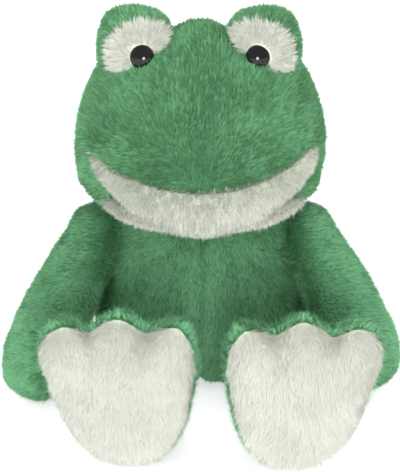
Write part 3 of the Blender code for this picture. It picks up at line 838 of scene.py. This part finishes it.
def ramp(tree, factor, stops):
    """A colour for each factor: straight blends between the stops' hex colours."""
    node = add(tree, "ShaderNodeValToRGB", inputs={"Fac": factor})
    elements = node.color_ramp.elements
    while len(elements) < len(stops):
        elements.new(0.5)
    for element, (place, colour) in zip(elements, stops):
        element.position = place
        element.color = linear(colour)
    return node.outputs["Color"]


def new_material(name, slot, **constants):
    """A material with its slot's name, and the shader's sockets that are the same all over it."""
    made = bpy.data.materials.new(name)
    made.use_nodes = True
    made["slot"] = slot
    shader = made.node_tree.nodes["Principled BSDF"]
    for socket, value in constants.items():
        shader.inputs[socket.replace("_", " ")].default_value = value
    return made, made.node_tree, shader


def pile_material(name, slot, along, tones):
    """Acrylic pile: darker where it grows out of the backing, as painted shade, lighter at its tips, as painted light,
    and uneven from tuft to tuft.
    """
    made, tree, shader = new_material(
        name, slot, Roughness=0.80, Specular_IOR_Level=0.25, Sheen_Weight=0.15, Sheen_Roughness=0.45
    )
    shader.inputs["Sheen Tint"].default_value = linear(along[-1][1])
    place = add(tree, "ShaderNodeUVMap", {"uv_map": "OFBake"})
    axes = add(tree, "ShaderNodeSeparateXYZ", inputs={"Vector": place.outputs["UV"]})
    # Colour along the strand: painted shade darkens the root, and painted light brightens the tip
    length = ramp(tree, axes.outputs["Y"], along)
    uneven = ramp(tree, axes.outputs["X"], tones)
    mixed = add(
        tree, "ShaderNodeMix", {"data_type": "RGBA", "blend_type": "MULTIPLY"}, {0: 1.0, 6: length, 7: uneven}
    )
    tree.links.new(mixed.outputs[2], shader.inputs["Base Color"])
    return made


def backing_material(name, slot, dark, light):
    """Knitted backing under dense short pile: mottled colour, and a nap about 1 mm wide that breaks up the light."""
    made, tree, shader = new_material(name, slot, Roughness=0.95, Specular_IOR_Level=0.15)
    place = add(tree, "ShaderNodeTexCoord")
    nap_mm = 1.0
    nap = add(
        tree,
        "ShaderNodeTexNoise",
        inputs={"Vector": place.outputs["Object"], "Scale": 1000.0 / nap_mm, "Detail": 2.0},
    )
    colour = ramp(tree, nap.outputs["Fac"], ((0.35, dark), (0.65, light)))
    tree.links.new(colour, shader.inputs["Base Color"])
    bump = add(tree, "ShaderNodeBump", inputs={"Height": nap.outputs["Fac"], "Strength": 0.5, "Distance": 0.0006})
    tree.links.new(bump.outputs["Normal"], shader.inputs["Normal"])
    return made


def eye_material():
    """Moulded, polished black acrylic: a deep colour under a hard surface, with small sharp highlights and scuffs."""
    made, tree, shader = new_material("polished_black_acrylic", "eye_plastic", IOR=1.49, Specular_IOR_Level=0.42)
    place = add(tree, "ShaderNodeTexCoord")
    scuff_mm = 3.0
    scuff = add(
        tree,
        "ShaderNodeTexNoise",
        inputs={"Vector": place.outputs["Object"], "Scale": 1000.0 / scuff_mm, "Detail": 3.0},
    )
    colour = ramp(tree, scuff.outputs["Fac"], ((0.3, "#040405"), (0.7, "#0b0b0d")))
    tree.links.new(colour, shader.inputs["Base Color"])
    rough = add(
        tree, "ShaderNodeMapRange", inputs={"Value": scuff.outputs["Fac"], "To Min": 0.04, "To Max": 0.08}
    )
    tree.links.new(rough.outputs["Result"], shader.inputs["Roughness"])
    return made


def washer_material():
    """Moulded nylon: milky, with a faint grain from the mould."""
    made, tree, shader = new_material("moulded_nylon", "washer_plastic", Roughness=0.45)
    place = add(tree, "ShaderNodeTexCoord")
    grain_mm = 1.5
    grain = add(
        tree, "ShaderNodeTexNoise", inputs={"Vector": place.outputs["Object"], "Scale": 1000.0 / grain_mm}
    )
    colour = ramp(tree, grain.outputs["Fac"], ((0.3, "#dcdcd6"), (0.7, "#ecece8")))
    tree.links.new(colour, shader.inputs["Base Color"])
    return made


def floor_material():
    """A smooth white sweep. The camera sees it near white, and the frog's shadow stays on it."""
    made, tree, shader = new_material("white_paper_sweep", "floor", Roughness=0.9)
    shader.inputs["Base Color"].default_value = linear("#f4f4f4")
    path = add(tree, "ShaderNodeLightPath")
    seen = add(
        tree,
        "ShaderNodeMath",
        {"operation": "MAXIMUM"},
        {0: path.outputs["Is Camera Ray"], 1: path.outputs["Is Glossy Ray"]},
    )
    glow = add(tree, "ShaderNodeMath", {"operation": "MULTIPLY"}, {0: seen.outputs[0], 1: FLOOR_GLOW})
    shader.inputs["Emission Color"].default_value = (1.0, 1.0, 1.0, 1.0)
    tree.links.new(glow.outputs[0], shader.inputs["Emission Strength"])
    return made


# Combing


def comb_down(root, normal):
    """Down, and outwards by the distance from the middle plane times a spread."""
    return np.stack([root[:, 0] * COMB_SPREAD, 0.0 * root[:, 0], np.full(len(root), -1.0)], -1)


def comb_from(place, fall):
    """Away from a point, and downwards by a share."""

    def comb(root, normal):
        return unit(root - place) + np.array([0.0, 0.0, -fall])

    return comb


def comb_sole(middle, across, up):
    """Down the sole, and outwards as far as the place is off its middle line and low on it."""

    def comb(root, normal):
        arm = root - middle
        low = np.clip((SOLE_PARTING_TOP - arm @ up) / SOLE_PARTING_FADE, 0.0, 1.0)
        return -np.broadcast_to(up, root.shape) + ((arm @ across) / SOLE_PARTING_WIDTH * low)[:, None] * across

    return comb


def comb_along(way):
    """The same way everywhere."""

    def comb(root, normal):
        return np.broadcast_to(way, root.shape)

    return comb


# Pieces

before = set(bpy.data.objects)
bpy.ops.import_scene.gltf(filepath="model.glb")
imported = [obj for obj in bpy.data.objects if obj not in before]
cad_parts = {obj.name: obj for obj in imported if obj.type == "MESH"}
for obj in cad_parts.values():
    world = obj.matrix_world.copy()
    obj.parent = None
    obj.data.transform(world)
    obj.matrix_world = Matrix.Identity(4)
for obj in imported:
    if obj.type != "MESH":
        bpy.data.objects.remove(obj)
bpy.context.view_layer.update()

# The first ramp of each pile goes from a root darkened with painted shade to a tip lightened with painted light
green_pile = pile_material(
    "green_acrylic_pile",
    "green_plush",
    ((0.0, "#538f63"), (0.45, "#6db080"), (1.0, "#94d0a3")),
    ((0.0, "#98a692"), (0.5, "#dfe5dc"), (1.0, "#ffffff")),
)
cream_pile = pile_material(
    "cream_acrylic_pile",
    "cream_plush",
    ((0.0, "#e7e8e1"), (0.45, "#f0f0ea"), (1.0, "#f9f8f4")),
    ((0.0, "#c4c9c1"), (0.3, "#dcdfd8"), (0.6, "#eff0ec"), (1.0, "#ffffff")),
)
green_backing = backing_material("green_knitted_backing", "green_plush", "#4a8558", "#63a571")
cream_backing = backing_material("cream_knitted_backing", "cream_plush", "#d8dccc", "#e8ecdc")
black_acrylic = eye_material()
nylon = washer_material()

torso = torso_form()
head = head_form()
lip = BandForm(LIP)
chin = BandForm(CHIN)
bumps = {side: bump_form(side) for side in SIDES}
arms = {side: arm_form(side) for side in SIDES}
legs = {side: leg_form(side) for side in SIDES}
feet = {side: foot_form(side) for side in SIDES}
eye_seats = {side: eye_seat(side) for side in SIDES}


def groove(distance, width, depth):
    """A seam's dent: depth times exp(-(distance / width)^2)."""
    return depth * np.exp(-((distance / width) ** 2))


def torso_dent(grid):
    """The belly seam's groove, on the front alone, and that of the side seams."""
    ahead = SIDE_SEAM_Y - grid[..., 1]
    belly = groove(grid[..., 0] - TORSO_X, *BELLY_GROOVE) * np.clip(ahead / BELLY_FADE, 0.0, 1.0)
    return belly + groove(ahead, *SIDE_GROOVE)


def head_dent(grid):
    """The face seam's groove, and the crown's dips, which deepen evenly away from its middle and upwards."""
    beside = np.clip((np.abs(grid[..., 0]) - CROWN_HALF_WIDTH) / CROWN_FADE_X, 0.0, 1.0)
    high = np.clip((grid[..., 2] - CROWN_LOW) / CROWN_FADE_Z, 0.0, 1.0)
    return groove(grid[..., 1] - FACE_SEAM_Y, *FACE_GROOVE) + CROWN_DIP * beside * high


def make_torso():
    """The pear-shaped body, with its belly seam down the middle."""
    skin = Skin(torso, GREEN_PILE["root"], torso_dent, [head, arms["right"], arms["left"]])
    nodes = ("belly_panel_right", "belly_panel_left", "back_panel", "torso_stuffing", "pellet_bag")
    fabric("torso_fabric", skin, "torso", nodes, [green_backing])
    near = [(head, CUT_MOST), (lip, CUT), (chin, CUT)]
    near += [(form, CUT) for side in SIDES for form in (arms[side], legs[side])]
    pile("torso_pile", skin, "torso", green_pile, BODY_PILE_PAINTED_LIGHTER, comb_down, SEEDS["torso"], clear_of=near)


def make_head():
    """The head without its bumps and mouth. Its pile leaves room for the eyes."""
    skin = Skin(head, GREEN_PILE["root"], head_dent, [torso, arms["right"], arms["left"]])
    fabric("head_fabric", skin, "head", ("face_panel", "head_back_panel", "head_stuffing"), [green_backing])
    right_clear, left_clear = (off_eye(side, HEAD_EYE_GAP) for side in SIDES)
    pile(
        "head_pile",
        skin,
        "head",
        green_pile,
        GREEN_PILE,
        comb_from(np.array(UNDER_LIP), 0.0),
        SEEDS["head"],
        keep=lambda points: right_clear(points) & left_clear(points),
        clear_of=[*((form, CUT_LEAST) for form in (lip, chin, *bumps.values())), (torso, CUT)],
    )


def make_mouth():
    """The stuffed lip band, and the smaller chin fold under it."""
    skin = Skin(lip, LIP_PILE_PAINTED_SHADE["root"], None, [head, chin])
    fabric("lip_fabric", skin, "head", ("lip_panel", "lip_stuffing"), [cream_backing])
    near = [(head, CUT)]
    pile("lip_pile", skin, "head", cream_pile, LIP_PILE_PAINTED_SHADE, comb_down, SEEDS["lip"], clear_of=near)
    skin = Skin(chin, LIP_PILE_PAINTED_SHADE["root"], None, [head, lip])
    fabric("chin_fabric", skin, "head", ("chin_panel",), [cream_backing])
    near = [(head, CUT), (lip, CUT)]
    pile("chin_pile", skin, "head", cream_pile, LIP_PILE_PAINTED_SHADE, comb_down, SEEDS["chin"], clear_of=near)


def on_patch(side):
    """Whether a point of the bump is on the cream patch: ahead of its seam and above the face's edge."""

    def test(points):
        inwards = -(points[:, 0] - SIDES[side] * BUMP_X) * SIDES[side]
        turn = math.radians(PATCH_TURN)
        back = (points[:, 1] - BUMP_Y + PATCH_SEAM) * math.cos(turn) - inwards * math.sin(turn)
        oval = np.stack([inwards, points[:, 2]], -1) - PATCH_MIDDLE
        ahead = (back < 0.0) & (np.linalg.norm(oval / PATCH_REACH, axis=-1) < 1.0)
        return ahead & (points[:, 2] > np.interp(inwards, *np.transpose(PATCH_EDGE)))

    return test


def off_eye(side, margin):
    """Whether a point is clear of the eye's rim by a margin."""
    seat, facing = eye_seats[side], eye_facing(side)

    def test(points):
        arm = points - seat
        across = arm - dot(arm, facing)[:, None] * facing
        return (np.linalg.norm(across, axis=1) > EYE_RADIUS + margin) | (arm @ facing < -EYE_HOLE_DEPTH)

    return test


def make_bump(side):
    """A bump with green pile behind and cream in front, both combed away from the eye."""
    skin = Skin(bumps[side], GREEN_PILE["root"])
    nodes = ("bump_back_" + side, "eye_patch_" + side, "bump_stuffing_" + side)
    patch, clear = on_patch(side), off_eye(side, BUMP_EYE_GAP)
    fabric("bump_fabric_" + side, skin, "head", nodes, [green_backing, cream_backing], patch)
    near = [(head, CUT)]
    pile(
        "bump_pile_" + side,
        skin,
        "head",
        green_pile,
        GREEN_PILE,
        comb_from(eye_seats[side], BUMP_FALL),
        seed_of("bump", side),
        keep=lambda points: ~patch(points) & clear(points),
        clear_of=near,
    )
    pile(
        "patch_pile_" + side,
        skin,
        "head",
        cream_pile,
        CREAM_PILE,
        comb_from(eye_seats[side], 0.0),
        seed_of("patch", side),
        keep=lambda points: patch(points) & clear(points),
        clear_of=near,
    )


def make_eye(side):
    """A dome over a short straight rim, turned about the way that the eye looks: r = R cos a, h = bulge sin a."""
    facing = eye_facing(side)
    across = unit(np.cross(facing, (0.0, 0.0, 1.0)))
    up = np.cross(across, facing)
    angle = np.linspace(math.pi / 2, 0.0, EYE_ROWS)
    radius = np.array([*(EYE_RADIUS * np.cos(angle)), EYE_RADIUS, EYE_RADIUS * EYE_BACK_SHARE, 0.0])
    back = -EYE_RIM * EYE_BACK_DEPTH
    height = np.array([*(EYE_BULGE * np.sin(angle)), -EYE_RIM, back, back])
    turn = np.linspace(0.0, 2.0 * math.pi, EYE_COLUMNS, endpoint=False)
    circle = np.cos(turn)[:, None] * across + np.sin(turn)[:, None] * up
    grid = eye_seats[side] + radius[:, None, None] * circle + height[:, None, None] * facing
    rings = grid[1:-1]
    points = np.concatenate([rings.reshape(-1, 3), grid[[0, -1], 0]])
    faces = loft_faces(len(rings), EYE_COLUMNS, 1)
    middle = points.mean(axis=0)
    first = points[faces[0]]
    normal = np.cross(first[1] - first[0], first[2] - first[1])
    if dot(normal, first.mean(axis=0) - middle) < 0.0:
        faces = [face[::-1] for face in faces]
    eye = mesh_piece("eye_dome_" + side, points, faces, [black_acrylic])
    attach(eye, "head")
    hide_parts("eye_" + side)
    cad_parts["eye_washer_" + side].data.materials.clear()
    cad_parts["eye_washer_" + side].data.materials.append(nylon)


def make_arm(side):
    """An arm, its pile combed outwards, a little back and down along it."""
    skin = Skin(arms[side], GREEN_PILE["root"], None, [torso, head, feet[side]])
    body = "arm_" + side
    fabric("arm_fabric_" + side, skin, body, ("arm_skin_" + side, "arm_stuffing_" + side), [green_backing])
    near = [(torso, CUT), (head, CUT_MOST), (feet[side], CUT)]
    comb = comb_along(ARM_COMB_DOWN * arm_axes(side)[2] + np.array([SIDES[side], ARM_COMB_BACK, 0.0]))
    pile("arm_pile_" + side, skin, body, green_pile, BODY_PILE_PAINTED_LIGHTER, comb, seed_of("arm", side), clear_of=near)


def make_leg(side):
    """A leg, most of it hidden behind its foot."""
    skin = Skin(legs[side], GREEN_PILE["root"])
    body = "leg_" + side
    fabric("leg_fabric_" + side, skin, body, ("leg_skin_" + side, "leg_stuffing_" + side), [green_backing])
    near = [(torso, CUT), (feet[side], CUT)]
    pile("leg_pile_" + side, skin, body, green_pile, GREEN_PILE, comb_down, seed_of("leg", side), clear_of=near)


def make_foot(side):
    """A foot: green upper, and cream sole with blunt toes."""
    across, up, out = foot_axes(side)
    middle = foot_middle(side)

    def on_sole(points):
        return (points - middle) @ out > PILE_SEAM

    skin = Skin(feet[side], GREEN_PILE["root"])
    body = "foot_" + side
    nodes = ("foot_sole_" + side, "foot_upper_" + side, "foot_stuffing_" + side)
    fabric("foot_fabric_" + side, skin, body, nodes, [green_backing, cream_backing], on_sole)
    pile(
        "upper_pile_" + side,
        skin,
        body,
        green_pile,
        BODY_PILE_PAINTED_LIGHTER,
        comb_from(middle - up * UPPER_PARTING, UPPER_FALL),
        seed_of("upper", side),
        keep=lambda points: ~on_sole(points),
        clear_of=[(legs[side], CUT)],
    )
    pile(
        "sole_pile_" + side,
        skin,
        body,
        cream_pile,
        SOLE_PILE,
        comb_sole(middle, across, up),
        seed_of("sole", side),
        keep=on_sole,
    )


make_torso()
make_head()
make_mouth()
for side in SIDES:
    make_bump(side)
    make_eye(side)
    make_arm(side)
    make_leg(side)
    make_foot(side)


# Studio


def make_floor():
    """A level square."""
    mesh = bpy.data.meshes.new("floor")
    corners = [(x * FLOOR_REACH, y * FLOOR_REACH, 0) for x, y in ((-1, -1), (1, -1), (1, 1), (-1, 1))]
    mesh.from_pydata(corners, [], [(0, 1, 2, 3)])
    mesh.materials.append(floor_material())
    floor = bpy.data.objects.new("floor", mesh)
    bpy.context.scene.collection.objects.link(floor)


def make_lamp(name, place, size, watts, mirrored):
    """A soft square lamp that faces the frog's middle. The eyes show its reflection where it is mirrored."""
    lamp = bpy.data.lights.new(name, "AREA")
    lamp.size = size
    lamp.energy = watts
    item = bpy.data.objects.new(name, lamp)
    item.location = place
    aim = Vector(CAMERA_TARGET) - Vector(place)
    item.rotation_euler = aim.to_track_quat("-Z", "Y").to_euler()
    item.visible_glossy = mirrored
    bpy.context.scene.collection.objects.link(item)


def make_world():
    """Plain white room light, which the camera sees as white."""
    world = bpy.data.worlds.new("studio")
    world.use_nodes = True
    tree = world.node_tree
    path = add(tree, "ShaderNodeLightPath")
    strength = add(
        tree,
        "ShaderNodeMapRange",
        inputs={"Value": path.outputs["Is Camera Ray"], "To Min": ROOM_LIGHT, "To Max": 1.0},
    )
    tree.links.new(strength.outputs["Result"], tree.nodes["Background"].inputs["Strength"])
    tree.nodes["Background"].inputs["Color"].default_value = (1.0, 1.0, 1.0, 1.0)
    bpy.context.scene.world = world


def make_camera():
    """A long lens, raised by an angle from level and aimed at the frog's middle."""
    camera = bpy.data.cameras.new("camera")
    camera.sensor_fit = "VERTICAL"
    camera.sensor_height = CAMERA_FILM_MM
    camera.lens = CAMERA_LENS_MM
    item = bpy.data.objects.new("camera", camera)
    raise_angle = math.radians(CAMERA_RAISE)
    back = Vector((0.0, -math.cos(raise_angle), math.sin(raise_angle))) * CAMERA_DISTANCE
    item.location = Vector(CAMERA_TARGET) + back
    item.rotation_euler = (-back).to_track_quat("-Z", "Y").to_euler()
    bpy.context.scene.collection.objects.link(item)
    bpy.context.scene.camera = item


make_floor()
for lamp_name, settings in LAMPS.items():
    make_lamp(lamp_name, *settings)
make_world()
make_camera()
bpy.context.scene.view_settings.view_transform = "Standard"
